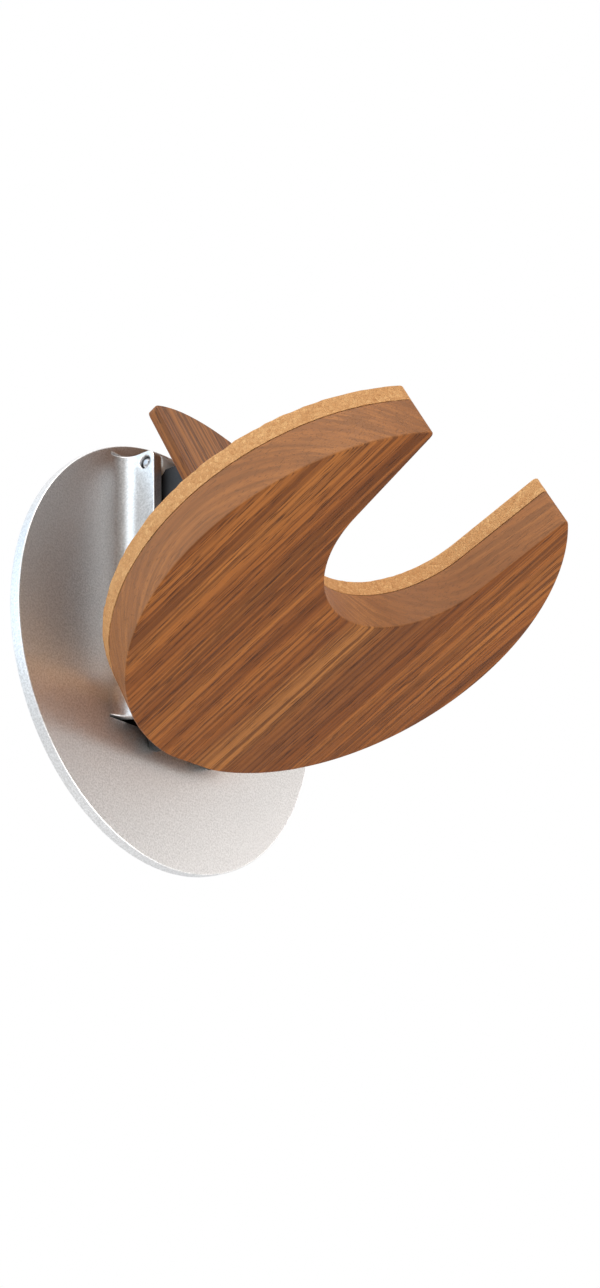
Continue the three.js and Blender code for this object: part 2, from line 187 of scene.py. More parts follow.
def block(low, high):
    """The points and faces of a box."""
    corners = [(x, y, z) for z in (low[2], high[2])
               for y in (low[1], high[1]) for x in (low[0], high[0])]
    faces = [(0, 2, 3, 1), (4, 5, 7, 6), (0, 1, 5, 4), (2, 6, 7, 3), (0, 4, 6, 2), (1, 3, 7, 5)]
    return np.array(corners, float), faces


def turned(rows, sides=40, thread=None):
    """Points and faces of rows of (radius, height) turned about Z.

    A first radius above zero makes a ring. thread is (from, to, pitch, depth).
    """
    turn = np.arange(sides) * 2 * math.pi / sides
    points = []
    for radius, height in rows:
        around = np.full(sides, float(radius))
        if thread and thread[0] <= height <= thread[1]:
            around -= thread[3] * (0.5 - 0.5 * np.cos(2 * math.pi * height / thread[2] - turn))
        points.append(np.column_stack([
            around * np.cos(turn), around * np.sin(turn), np.full(sides, height)]))
    ring = rows[0][0] > 0
    last = len(rows) if ring else len(rows) - 1
    faces = []
    for k in range(last):
        a, b = k * sides, (k + 1) % len(rows) * sides
        faces += [(a + i, a + (i + 1) % sides, b + (i + 1) % sides, b + i) for i in range(sides)]
    return np.vstack(points), faces


def aimed(points, at, towards):
    """Points about Z, turned so that +Z points along towards, and moved to at."""
    turn = np.array(Vector(towards).to_track_quat("Z", "Y").to_matrix())
    return np.asarray(points) @ turn.T + np.array(at)


def carve(piece, points, faces):
    """Cuts a closed shape, given in millimetres, out of a piece."""
    cutter = build("cutter", points, faces, piece.data.materials[0])
    cutter.modifiers.clear()
    piece.modifiers.clear()
    cut = piece.modifiers.new("cut", "BOOLEAN")
    cut.operation, cut.object, cut.solver = "DIFFERENCE", cutter, "EXACT"
    evaluated = piece.evaluated_get(bpy.context.evaluated_depsgraph_get())
    mesh = bpy.data.meshes.new_from_object(evaluated)
    piece.modifiers.clear()
    piece.data = mesh
    bpy.data.objects.remove(cutter)
    finish_surface(piece)
    return piece


# ---------- outlines and plates ----------
def arc(x, y, radius, start, end, step=1.5):
    """Points on an arc, angles in degrees, about one every step millimetres."""
    count = max(3, math.ceil(abs(math.radians(end - start)) * radius / step))
    turn = np.radians(np.linspace(start, end, count + 1))
    return np.column_stack([x + radius * np.cos(turn), y + radius * np.sin(turn)])


def bend_curve(start, control, end):
    """Points on a curve that leaves start and reaches end along lines to control."""
    t = np.linspace(0, 1, CURVE_STEPS + 1)[:, None]
    return (1 - t) ** 2 * np.array(start) + 2 * t * (1 - t) * np.array(control) + t ** 2 * np.array(end)


def closed(*stretches):
    """One closed outline from stretches of points, without doubled points."""
    points = np.vstack([np.atleast_2d(s) for s in stretches])
    apart = np.linalg.norm(points - np.roll(points, 1, 0), axis=1) > 1e-3
    return points[apart]


def circle(x, y, radius, step=1.5, hole=False):
    """A closed outline that runs clockwise for a hole."""
    around = arc(x, y, radius, 0, 360, step)[:-1]
    return around[::-1] if hole else around


def dense(ring, step):
    """A closed outline with points added along its straight stretches."""
    kept = []
    for a, b in zip(ring, np.roll(ring, -1, 0)):
        count = max(1, math.ceil(np.linalg.norm(b - a) / step))
        kept += [a + (b - a) * k / count for k in range(count)]
    return np.array(kept)


def inward(ring):
    """How each point of a closed outline moves for one millimetre of inset. Holes run clockwise."""
    ahead = np.roll(ring, -1, 0) - ring
    ahead /= np.linalg.norm(ahead, axis=1)[:, None]
    left = np.column_stack([-ahead[:, 1], ahead[:, 0]])
    before = np.roll(left, 1, 0)
    return (left + before) / (1 + (left * before).sum(1))[:, None]


def inside(points, rings):
    """Which points lie inside the outline and outside its holes."""
    odd = np.zeros(len(points), bool)
    for ring in rings:
        for (x0, y0), (x1, y1) in zip(ring, np.roll(ring, -1, 0)):
            if y0 != y1:
                crosses = (y0 > points[:, 1]) != (y1 > points[:, 1])
                odd ^= crosses & (points[:, 0] < x0 + (points[:, 1] - y0) / (y1 - y0) * (x1 - x0))
    return odd


def fill(rings, extra):
    """Triangles between closed outlines, with extra points of their own inside."""
    points = np.vstack(rings if extra is None else [*rings, extra])
    edges, count = [], 0
    for ring in rings:
        edges += [(count + i, count + (i + 1) % len(ring)) for i in range(len(ring))]
        count += len(ring)
    made = delaunay_2d_cdt([Vector(p) for p in points], edges, [], 0, 1e-6)
    corners = np.array([tuple(v) for v in made[0]])
    triangles = np.array([f for f in made[2] if len(f) == 3])
    return corners, triangles[inside(corners[triangles].mean(1), rings)]


def rounded(low, high, radius):
    """Rows of (inset, height) for an edge rounded at both faces."""
    turn = np.linspace(0, math.pi / 2, EDGE_STEPS + 1)
    lower = [(radius * (1 - math.sin(a)), low + radius * (1 - math.cos(a))) for a in turn]
    return lower + [(inset, high + low - height) for inset, height in lower[::-1]]


def plate(rings, rows, extra=None):
    """Points and faces of a flat plate. rows are (inset, height) round its edge, from face to face."""
    moves = [inward(ring) for ring in rings]
    stretches = []
    for ring, move in zip(rings, moves):
        n = len(ring)
        points = np.vstack([
            np.column_stack([ring + move * inset, np.full(n, height)]) for inset, height in rows])
        faces = [(k * n + i, k * n + (i + 1) % n, k * n + n + (i + 1) % n, k * n + n + i)
                 for k in range(len(rows) - 1) for i in range(n)]
        stretches.append((points, faces))
    for (inset, height), order in ((rows[0], -1), (rows[-1], 1)):
        corners, triangles = fill([ring + move * inset for ring, move in zip(rings, moves)], extra)
        stretches.append((np.column_stack([corners, np.full(len(corners), height)]),
                          [tuple(t[::order]) for t in triangles]))
    return join(stretches)


def on_board(points):
    """Points of the fork's own frame, y back along it and z up through it, in the wall frame."""
    x, y, z = np.asarray(points, float).T
    c, s = math.cos(TILT), math.sin(TILT)
    return np.column_stack([x, y * c + z * s, z * c - y * s]) + np.array(BOARD_AT)


def along_board(direction):
    """A direction of the fork's own frame, in the wall frame."""
    return on_board([direction])[0] - np.array(BOARD_AT)


# ---------- materials ----------
class Shader:
    """A Principled material, with short calls for the nodes that vary its surface."""

    def __init__(self, name, roughness, metallic=0.0, turn=(0, 0, 0)):
        self.material = bpy.data.materials.new(name)
        self.material.use_nodes = True
        self.tree = self.material.node_tree
        self.surface = self.tree.nodes["Principled BSDF"]
        self.surface.inputs["Roughness"].default_value = roughness
        self.surface.inputs["Metallic"].default_value = metallic
        place = self.node("ShaderNodeTexCoord")
        self.place = self.mapped(place.outputs["Object"], turn=turn)
        self.facing = self.mapped(place.outputs["Normal"], turn=turn)

    def node(self, kind, **values):
        made = self.tree.nodes.new(kind)
        for key, value in values.items():
            setattr(made, key, value)
        return made

    def feed(self, socket, value):
        if isinstance(value, bpy.types.NodeSocket):
            self.tree.links.new(value, socket)
        else:
            socket.default_value = value

    def mapped(self, source, turn=(0, 0, 0), scale=(1, 1, 1), shift=(0, 0, 0)):
        made = self.node("ShaderNodeMapping")
        self.feed(made.inputs["Vector"], source)
        made.inputs["Rotation"].default_value = turn
        made.inputs["Scale"].default_value = scale
        made.inputs["Location"].default_value = shift
        return made.outputs["Vector"]

    def grain(self, size, detail, shift=(0, 0, 0), place=None):
        """Noise whose spots measure size, in millimetres along x, y and z."""
        scale = [1 / (s * MM) for s in size]
        made = self.node("ShaderNodeTexNoise")
        self.feed(made.inputs["Vector"], self.mapped(place or self.place, scale=scale, shift=shift))
        made.inputs["Scale"].default_value = 1.0
        made.inputs["Detail"].default_value = detail
        return made.outputs["Fac"]

    def bands(self, place, spacing, drift):
        """Even bands across x, a spacing apart, that waver over the drift's lengths along y and z."""
        scale = [math.pi / 10 / (spacing * MM), *(1 / (d * MM) for d in drift)]
        made = self.node("ShaderNodeTexWave", bands_direction="X")
        self.feed(made.inputs["Vector"], self.mapped(place, scale=scale))
        made.inputs["Scale"].default_value = 1.0
        made.inputs["Distortion"].default_value = 9.0
        made.inputs["Detail"].default_value = 2.0
        made.inputs["Detail Scale"].default_value = 1.0
        return made.outputs["Fac"]

    def cells(self, size, feature="F1"):
        """Cells of about a size in millimetres. Its outputs give their tint or the gap to their edge."""
        made = self.node("ShaderNodeTexVoronoi", feature=feature)
        self.feed(made.inputs["Vector"], self.mapped(self.place, scale=[1 / (size * MM)] * 3))
        made.inputs["Scale"].default_value = 1.0
        return made

    def ramp(self, source, stops):
        """Colours, or greys, by stops of (place, value)."""
        made = self.node("ShaderNodeValToRGB")
        self.feed(made.inputs["Fac"], source)
        elements = made.color_ramp.elements
        while len(elements) < len(stops):
            elements.new(0.5)
        for element, (at, value) in zip(elements, stops):
            element.position = at
            element.color = (*value, 1) if hasattr(value, "__len__") else (value, value, value, 1)
        return made.outputs["Color"]

    def mix(self, amount, a, b, mode="MIX"):
        made = self.node("ShaderNodeMix", data_type="RGBA", blend_type=mode)
        self.feed(made.inputs[0], amount)
        self.feed(made.inputs[6], a if isinstance(a, bpy.types.NodeSocket) else (*a, 1))
        self.feed(made.inputs[7], b if isinstance(b, bpy.types.NodeSocket) else (*b, 1))
        return made.outputs[2]

    def calc(self, a, b, operation="ADD"):
        """Arithmetic on two values."""
        made = self.node("ShaderNodeMath", operation=operation)
        self.feed(made.inputs[0], a)
        self.feed(made.inputs[1], b)
        return made.outputs[0]

    def axis(self, letter, source=None):
        """One of the three parts of a vector, by default of the place."""
        made = self.node("ShaderNodeSeparateXYZ")
        self.feed(made.inputs[0], source or self.place)
        return made.outputs[letter]

    def bump(self, height, depth, strength):
        """Relief of a depth in millimetres."""
        made = self.node("ShaderNodeBump")
        made.inputs["Distance"].default_value = depth * MM
        made.inputs["Strength"].default_value = strength
        self.feed(made.inputs["Height"], height)
        return made.outputs["Normal"]

    def done(self, color, roughness, normal):
        """Feeds the surface and gives the material. Roughness may be None, for the even one."""
        for name, value in (("Base Color", color), ("Roughness", roughness), ("Normal", normal)):
            if value is not None:
                self.feed(self.surface.inputs[name], value)
        return self.material


def satin_aluminium():
    """Fine bead-blasted sheet, with small dimples."""
    s = Shader("satin_aluminium_blasted", 0.42, 1.0)
    speckle = s.grain((0.45, 0.45, 0.45), detail=2)
    cloud = s.grain((22, 22, 22), detail=1)
    tone = s.ramp(speckle, [(0.34, (0.68, 0.665, 0.655)), (0.66, (0.9, 0.885, 0.88))])
    color = s.mix(s.ramp(cloud, [(0.35, 0.0), (0.65, 0.25)]), tone, (0.76, 0.745, 0.735))
    rough = s.ramp(speckle, [(0.3, 0.36), (0.7, 0.46)])
    dimples = s.bump(speckle, 0.05, 0.6)
    return s.done(color, rough, dimples)


GROWTH_TILT = math.radians(40)   # of the growth rings about the grain
RING_SPACING = 1.9
WANDER = 12.0                    # width that the golden and dark bands stray over


def walnut(name, turn, golden, dark, painted_side_sheen):
    """Open-grain walnut, its grain along the turned frame's y.

    golden and dark are bands across x, as (middle, half width). The last argument is how far the
    sides are painted paler than the faces, a painted sheen where the sides catch the light.
    """
    s = Shader(name, 0.5, turn=turn)
    s.surface.inputs["Specular IOR Level"].default_value = 0.15
    sheets = s.mapped(s.place, turn=(0, GROWTH_TILT, 0))
    wander = s.grain((30, 110, 30), detail=2)
    across = s.calc(s.axis("X"), s.calc(s.calc(wander, 0.5, "SUBTRACT"), WANDER * MM, "MULTIPLY"))
    figure = s.grain((4.5, 170, 16), detail=2, place=sheets)
    base = s.ramp(figure, [
        (0.32, (0.19, 0.056, 0.011)), (0.5, (0.275, 0.088, 0.018)), (0.68, (0.35, 0.123, 0.027))])
    for (middle, half), tint in ((golden, (0.4, 0.165, 0.045)), (dark, (0.15, 0.052, 0.015))):
        away = s.calc(s.calc(across, middle * MM, "SUBTRACT"), half * MM, "DIVIDE")
        band = s.ramp(s.calc(away, away, "MULTIPLY"), [(0.0, 0.6), (1.0, 0.0)])
        base = s.mix(band, base, tint)
    rings = s.bands(sheets, RING_SPACING, (220, 40))
    base = s.mix(s.ramp(rings, [(0.45, 0.0), (0.95, 0.36)]), base, (0.09, 0.026, 0.007))
    streaks = s.grain((0.75, 150, 5), detail=2, place=sheets)
    base = s.mix(s.ramp(streaks, [(0.47, 0.0), (0.6, 0.65)]), base, (0.08, 0.024, 0.006))
    fibres = s.grain((0.4, 16, 0.4), detail=2)
    base = s.mix(s.ramp(fibres, [(0.35, 0.3), (0.55, 0.0)]), base, (0.12, 0.036, 0.01))
    pores = s.grain((0.32, 7, 0.32), detail=1, shift=(3, 1, 7))
    pits = s.ramp(pores, [(0.58, 0.0), (0.68, 1.0)])
    base = s.mix(s.calc(pits, 0.7, "MULTIPLY"), base, (0.04, 0.012, 0.004))
    upright = s.axis("Z", s.facing)
    # Painted sheen: faces turned sideways are mixed towards a pale tan, as if they caught the light.
    side = s.ramp(s.calc(upright, upright, "MULTIPLY"), [(0.1, painted_side_sheen), (0.7, 0.0)])
    base = s.mix(side, base, (0.52, 0.235, 0.105))
    rough = s.ramp(fibres, [(0.3, 0.46), (0.7, 0.6)])
    relief = s.bump(s.calc(pits, fibres, "SUBTRACT"), -0.08, 0.5)
    return s.done(base, rough, relief)


CORK_GRANULE = 0.75


def cork():
    """Agglomerated cork: small tan granules, some darker, with open joints between them."""
    s = Shader("cork_granules", 0.85)
    s.surface.inputs["Specular IOR Level"].default_value = 0.2
    granule = s.cells(CORK_GRANULE)
    tint = s.ramp(granule.outputs["Color"], [
        (0.0, (0.48, 0.215, 0.075)), (0.2, (0.58, 0.28, 0.105)),
        (0.7, (0.66, 0.34, 0.135)), (1.0, (0.76, 0.43, 0.18))])
    fine = s.grain((0.3, 0.3, 0.3), detail=3)
    color = s.mix(s.ramp(fine, [(0.34, 0.4), (0.55, 0.0)]), tint, (0.42, 0.185, 0.07))
    joints = s.cells(CORK_GRANULE, "DISTANCE_TO_EDGE").outputs["Distance"]
    color = s.mix(s.ramp(joints, [(0.0, 0.25), (0.08, 0.0)]), color, (0.3, 0.13, 0.05))
    height = s.calc(s.ramp(joints, [(0.0, 0.0), (0.25, 1.0)]), fine)
    return s.done(color, None, s.bump(height, 0.12, 0.7))


def moulded(name, tone, roughness, spot=0.5):
    """Plastic or rubber with a fine moulded texture and slight wear."""
    s = Shader(name, roughness)
    fine = s.grain((spot,) * 3, detail=3)
    wear = s.grain((12, 12, 12), detail=2)
    lighter = tuple(min(1.0, c * 1.5 + 0.006) for c in tone)
    color = s.mix(s.ramp(wear, [(0.4, 0.0), (0.75, 0.6)]), tone, lighter)
    rough = s.ramp(fine, [(0.3, roughness - 0.06), (0.7, roughness + 0.08)])
    return s.done(color, rough, s.bump(fine, 0.04, 0.5))


def plain_metal(name, tone, roughness, size):
    """Drawn, ground or plated metal. size is the streaks' length along x, y and z."""
    s = Shader(name, roughness, 1.0)
    streaks = s.grain(size, detail=3)
    color = s.ramp(streaks, [(0.3, tuple(c * 0.82 for c in tone)), (0.7, tone)])
    rough = s.ramp(streaks, [(0.3, roughness - 0.08), (0.7, roughness + 0.08)])
    return s.done(color, rough, s.bump(streaks, 0.015, 0.4))


def painted():
    """Matt black powder coat with a fine orange-peel texture."""
    s = Shader("black_powder_coat", 0.55)
    peel = s.grain((0.8, 0.8, 0.8), detail=2)
    color = s.ramp(peel, [(0.3, 0.018), (0.7, 0.034)])
    rough = s.ramp(peel, [(0.3, 0.48), (0.7, 0.62)])
    return s.done(color, rough, s.bump(peel, 0.05, 0.5))


def birch():
    """Pale wood with its grain along the dowel."""
    s = Shader("birch_dowel", 0.6, turn=(TILT, 0, 0))
    fibres = s.grain((0.4, 0.4, 8), detail=3)
    color = s.ramp(fibres, [(0.3, (0.55, 0.39, 0.22)), (0.7, (0.72, 0.56, 0.36))])
    return s.done(color, None, s.bump(fibres, 0.05, 0.5))


ALUMINIUM = satin_aluminium()
# The last argument of each walnut sets how much painted sheen the board's sides get.
FORK_WALNUT = walnut(
    "walnut_fork", (TILT, 0, 0), golden=(5, 7), dark=(17, 9), painted_side_sheen=0.35)
REST_WALNUT = walnut(
    "walnut_rest", (TILT + math.pi / 2, 0, 0), golden=(-6, 16), dark=(30, 8), painted_side_sheen=0.08)
CORK = cork()
BLACK_PLASTIC = moulded("black_moulding", (0.012, 0.012, 0.014), 0.5)
RUBBER = moulded("black_rubber", (0.018, 0.018, 0.018), 0.8, spot=0.8)
NYLON = moulded("natural_nylon", (0.7, 0.7, 0.66), 0.45)
PIN_STEEL = plain_metal("ground_steel", (0.6, 0.6, 0.62), 0.3, (0.1, 3, 3))
ZINC = plain_metal("zinc_plate", (0.62, 0.62, 0.6), 0.35, (1.5, 1.5, 1.5))
BLACK_PAINT = painted()
BIRCH = birch()


# ---------- wall unit ----------
def add(piece, body, slot, *nodes):
    """Attaches a piece to the body it moves with and hides the nodes it replaces. slot is not used."""
    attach(piece, body)
    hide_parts(*nodes)


def folded(points):
    """A point of the flat sheet, as (x, height, depth behind the front), after the ears are folded."""
    x, z, depth = points.T
    past = BEND_X - np.abs(x)
    turn = np.clip(past, 0, BEND_LENGTH) / BEND_LENGTH * math.pi / 2
    straight = np.clip(past - BEND_LENGTH, 0, None)
    radius = BEND_INSIDE + depth
    bent_x = BEND_X - radius * np.sin(turn)
    out = BEND_INSIDE - radius * np.cos(turn) + straight
    flat = (past <= 0) | (z < EAR_BOTTOM - 0.01) | (z > EAR_TOP + 0.01)
    return np.column_stack([
        np.where(flat, x, np.sign(x) * bent_x), np.where(flat, FACE_FRONT + depth, FACE_FRONT - out), z])


BEND_STEPS = 10


def face_plate():
    """The round plate, laid out flat with its two flaps and then folded."""
    step = BEND_LENGTH / BEND_STEPS
    low, high = EAR_BOTTOM - RELIEF, EAR_TOP + RELIEF
    corner = BEND_X - FLAP + EAR_CORNER

    def flap_edge(side):
        """The flap's edge on one side, from its lower root round its corners to its upper root."""
        lower = arc(corner, EAR_BOTTOM + EAR_CORNER, EAR_CORNER, 270, 180, 0.5)
        upper = arc(corner, EAR_TOP - EAR_CORNER, EAR_CORNER, 180, 90, 0.5)
        points = np.vstack([
            [(BEND_X, low), (BEND_X, EAR_BOTTOM)], lower, upper, [(BEND_X, EAR_TOP), (BEND_X, high)]])
        return points * (side, 1)

    window = dense(closed(flap_edge(1), flap_edge(-1)[::-1]), step)[::-1]
    heights = np.arange(EAR_BOTTOM + 2, EAR_TOP - 1, 3.0)
    bend = [(side * (BEND_X - k * step), z)
            for _, side in SIDES for k in range(-1, BEND_STEPS + 2) for z in heights]
    pin_x = BEND_X - BEND_LENGTH - (PIN_OUT - BEND_INSIDE)
    pin_holes = [circle(side * pin_x, PIN_HEIGHT, PIN_HOLE, 0.4, hole=True) for _, side in SIDES]
    rings = [circle(0, 0, FACE_RADIUS), window, *pin_holes]
    points, faces = plate(rings, rounded(0, SHEET, SHEET_EDGE), np.array(bend))
    return build("folded_face_plate", folded(points), faces, ALUMINIUM, sharp=50)


add(face_plate(), WALL_UNIT, "satin_aluminium", "face_plate")


def plate_screw_places():
    """The (x, z) of each screw between the two plates."""
    for angle in PLATE_SCREW_ANGLES:
        a = math.radians(angle)
        yield PLATE_SCREW_CIRCLE * math.cos(a), PLATE_SCREW_CIRCLE * math.sin(a)


def wall_plate():
    """The disc on the wall, countersunk from behind for the plate screws."""
    holes = [circle(0, height, WALL_SCREW_HOLE, 0.5, hole=True) for height in WALL_SCREW_HEIGHTS]
    points, faces = plate([circle(0, 0, WALL_RADIUS), *holes], rounded(WALL_FRONT, 0, WALL_EDGE))
    piece = build("wall_plate_disc", points[:, [0, 2, 1]], faces, BLACK_PAINT)
    seat, faces = turned([
        (0, 1), (PLATE_SCREW_SEAT, 1), (PLATE_SCREW_SEAT, -0.2),
        (PLATE_SCREW_HOLE, -1.9), (PLATE_SCREW_HOLE, -4), (0, -4)])
    cutters = [(aimed(seat, (x, 0, z), (0, 1, 0)), faces) for x, z in plate_screw_places()]
    return carve(piece, *join(cutters))


add(wall_plate(), WALL_UNIT, "black_metal", "wall_plate")


def cross(arm, slit, low, high):
    """The points and faces of an upright cross-shaped bar. slit is half the width of its arms."""
    corner = [(slit, -slit), (arm, -slit), (arm, slit)]
    around = []
    for _ in range(4):
        around += corner
        corner = [(-y, x) for x, y in corner]
    n = len(around)
    points = [(x, y, z) for z in (low, high) for x, y in around]
    walls = [(i, (i + 1) % n, n + (i + 1) % n, n + i) for i in range(n)]
    return np.array(points), [tuple(range(n))[::-1], tuple(range(n, 2 * n)), *walls]


def screw_mesh(name, size, countersunk=False):
    """A cross-head screw whose shank points along +Z, with its head's seat or flat top at z = 0."""
    shank, length, head, head_height = size
    if countersunk:
        rows = [(0, 0), (head, 0), (head, HEAD_RIM), (shank, head_height)]
        start, top = head_height, 0.0
    else:
        dome = [(head * math.sin(a), -head_height * math.cos(a))
                for a in np.radians([0, 25, 45, 60, 72, 84])]
        rows = [*dome, (head, 0), (shank, 0)]
        start, top = 0.0, -head_height
    pitch = shank * 0.8
    taper = shank * 1.8
    begin = start + 0.8
    heights = np.arange(begin, length - taper, pitch / 6)
    rows += [(shank, z) for z in heights]
    rows += [(shank * (1 - k / 6), length - taper + taper * k / 6) for k in range(1, 7)]
    thread = (begin, length - taper * 0.5, pitch, shank * 0.28)
    piece = build(name, *turned(rows, 28, thread), ZINC, sharp=50)
    return carve(piece, *cross(head * 0.55, DRIVE_HALF_WIDTH, top - 1, top + DRIVE_DEPTH))


def add_screw(kind, node, at, towards, body, name):
    """A copy of one screw, its z = 0 at a place and its tip pointing towards."""
    piece = kind.copy()
    piece.name = name
    bpy.context.scene.collection.objects.link(piece)
    turn = Vector(towards).to_track_quat("Z", "Y").to_matrix().to_4x4()
    piece.matrix_world = Matrix.Translation(Vector(at) * MM) @ turn
    add(piece, body, "zinc", node)


wall_kind = screw_mesh("wall_screw_kind", WALL_SCREW)
plate_kind = screw_mesh("plate_screw_kind", PLATE_SCREW, countersunk=True)
rest_kind = screw_mesh("rest_screw_kind", REST_SCREW)
fork_kind = screw_mesh("fork_screw_kind", FORK_SCREW)
for number, height in enumerate(WALL_SCREW_HEIGHTS, 1):
    add_screw(wall_kind, f"wall_screw_{number}", (0, WALL_FRONT, height), (0, 1, 0),
              WALL_UNIT, f"wall_screw_threaded_{number}")
for number, (x, z) in enumerate(plate_screw_places(), 1):
    add_screw(plate_kind, f"plate_screw_{number}", (x, 0, z), (0, -1, 0),
              WALL_UNIT, f"plate_screw_threaded_{number}")


def pin():
    """The cross pin, chamfered at both ends."""
    half = EAR_OUTER - PIN_INSET
    tip, straight = PIN_RADIUS - PIN_CHAMFER, half - PIN_CHAMFER
    points, faces = turned([
        (0, -half), (tip, -half), (PIN_RADIUS, -straight), (PIN_RADIUS, straight), (tip, half), (0, half)])
    return build("cross_pin", aimed(points, (0, *PIN_AT), (1, 0, 0)), faces, PIN_STEEL, bevel=0.12)


add(pin(), WALL_UNIT, "pin_steel", "pivot_pin")
for word, side in SIDES:
    low, high = sorted((side * SPACER_INNER_X, side * (EAR_OUTER - SHEET - SPACER_GAP_TO_EAR)))
    bore = PIN_RADIUS + SPACER_GAP_TO_PIN
    points, faces = turned([(bore, low), (SPACER_RADIUS, low), (SPACER_RADIUS, high), (bore, high)])
    ring = build(f"spacer_ring_{word}", aimed(points, (0, *PIN_AT), (1, 0, 0)), faces, NYLON, bevel=0.25)
    add(ring, WALL_UNIT, "nylon", f"spacer_{word}")


# ---------- yoke ----------
def fork_outline():
    """A disc with a round-ended neck slot that flares to two pointed tips."""
    tip = math.asin(SLOT_MOUTH / BOARD_RADIUS)
    tip_y = -BOARD_RADIUS * math.cos(tip)
    flare = math.atan2(SLOT_MOUTH - SLOT_RADIUS, SLOT_CENTRE - tip_y)
    start = -90 + math.degrees(tip + TIP_ROUND / BOARD_RADIUS)
    flare_angle = math.degrees(flare)
    inner = np.array([SLOT_MOUTH - TIP_ROUND * math.sin(flare), tip_y + TIP_ROUND])
    rim = arc(0, 0, BOARD_RADIUS, start, 180 - start)
    left_tip = bend_curve(rim[-1], (-SLOT_MOUTH, tip_y), inner * (-1, 1))
    slot = arc(0, SLOT_CENTRE, SLOT_RADIUS, 180 - flare_angle, flare_angle, 1.2)
    right_tip = bend_curve(inner, (SLOT_MOUTH, tip_y), rim[0])
    return closed(rim, left_tip, slot, right_tip)


FORK = fork_outline()


def without_back(piece):
    """Cuts the disc off flat in front of the face plate."""
    return carve(piece, *block((-FAR, FACE_FRONT - BACK_CUT, -FAR), (FAR, FAR, FAR)))


def fork_walnut():
    """The fork's wood, notched behind for the carrier above a lip for the bumpers."""
    points, faces = plate([FORK], rounded(0, WOOD, WOOD_EDGE))
    piece = without_back(build("fork_walnut", on_board(points), faces, FORK_WALNUT))
    notch = block((-NOTCH_HALF, FACE_FRONT - NOTCH_REACH, LIP_TOP), (NOTCH_HALF, FAR, FAR))
    return carve(piece, *notch)


CORK_SPACING = 1.3               # between the points of its uneven surface
CORK_JITTER = 0.25
CORK_LIFTS = ((0.9, 0.16), (0.25, 0.12))   # (noise per millimetre, height)


def granular(points):
    """Raises and lowers a cork surface a little, in grains about one and four millimetres across."""
    moved = points.copy()
    for i, (x, y, z) in enumerate(points):
        lift = sum(noise.noise(Vector((x, y, z)) * scale) * height for scale, height in CORK_LIFTS)
        if z > WOOD + 0.5:
            moved[i, 2] += lift
        moved[i, :2] *= 1 + lift / BOARD_RADIUS * 0.8
    return moved


def cork_pad():
    """The cork on the fork, cut away behind for the back rest."""
    across = np.arange(-BOARD_RADIUS, BOARD_RADIUS, CORK_SPACING)
    grid = np.array([(x + (k % 2) * CORK_SPACING / 2, y) for k, y in enumerate(across) for x in across])
    grid += np.random.default_rng(7).uniform(-CORK_JITTER, CORK_JITTER, grid.shape)
    grid = grid[inside(grid, [FORK + inward(FORK) * CORK_SPACING])]
    sides = [(0.0, WOOD + rise) for rise in (0, 1.2, 2.4, 3.6)]
    top_edge = rounded(WOOD, BOARD_THICK, CORK_EDGE)[EDGE_STEPS + 1:]
    points, faces = plate([FORK], sides + top_edge, grid)
    piece = without_back(build("fork_cork_pad", on_board(granular(points)), faces, CORK, sharp=60))
    seat, faces = block((-NOTCH_HALF, REST_FRONT, -1), (NOTCH_HALF, FAR, FAR))
    return carve(piece, on_board(seat), faces)


def back_rest():
    """The upright: rounded top, and sides that slope in towards the back."""
    sweep = math.asin((REST_HALF - REST_CORNER) / REST_TOP_RADIUS)
    shoulder = REST_TOP - REST_TOP_RADIUS * (1 - math.cos(sweep))
    edge = shoulder - REST_CORNER * 0.4
    right = bend_curve(
        (REST_HALF, edge - REST_CORNER), (REST_HALF, edge), (REST_HALF - REST_CORNER, shoulder))
    top = arc(0, REST_TOP - REST_TOP_RADIUS, REST_TOP_RADIUS,
              90 - math.degrees(sweep), 90 + math.degrees(sweep))
    outline = closed([(-REST_HALF, WOOD), (REST_HALF, WOOD)], right, top, right[::-1] * (-1, 1))
    edges = rounded(0, REST_THICK, WOOD_EDGE)
    half = len(edges) // 2
    points, faces = plate([outline], [*edges[:half], (0.0, REST_EDGE), *edges[half:]])
    x, up, depth = points.T
    slope = np.clip((depth - REST_EDGE) / (REST_THICK - REST_EDGE), 0, 1)
    x = x * (1 - (1 - REST_BACK_HALF / REST_HALF) * slope)
    shaped = on_board(np.column_stack([x, REST_FRONT + depth, up]))
    return build("back_rest_walnut", shaped, faces, REST_WALNUT)


add(fork_walnut(), YOKE, "walnut", "fork_board")
add(cork_pad(), YOKE, "cork", "fork_cork")
add(back_rest(), YOKE, "walnut", "back_rest")


def dowel(word, side):
    """A peg up through the fork into the back rest."""
    points, faces = turned([
        (0, DOWEL_LOW), (DOWEL_RADIUS, DOWEL_LOW), (DOWEL_RADIUS, DOWEL_HIGH), (0, DOWEL_HIGH)], 24)
    points += (side * DOWEL_X, DOWEL_BACK, 0)
    return build(f"birch_dowel_{word}", on_board(points), faces, BIRCH, bevel=0.35)


def bumper(word, side):
    """A rubber pad with a shallow dome towards the face plate."""
    dome = [(BUMPER_RADIUS * math.cos(a), BUMPER_LENGTH - BUMPER_DOME * (1 - math.sin(a)))
            for a in np.radians([0, 30, 60, 90])]
    points, faces = turned([(0, 0), (BUMPER_RADIUS, 0), *dome], 32)
    at = (side * BUMPER_X, FACE_FRONT - BACK_CUT, BUMPER_HEIGHT)
    return build(f"bumper_dome_{word}", aimed(points, at, (0, 1, 0)), faces, RUBBER, bevel=0.2)


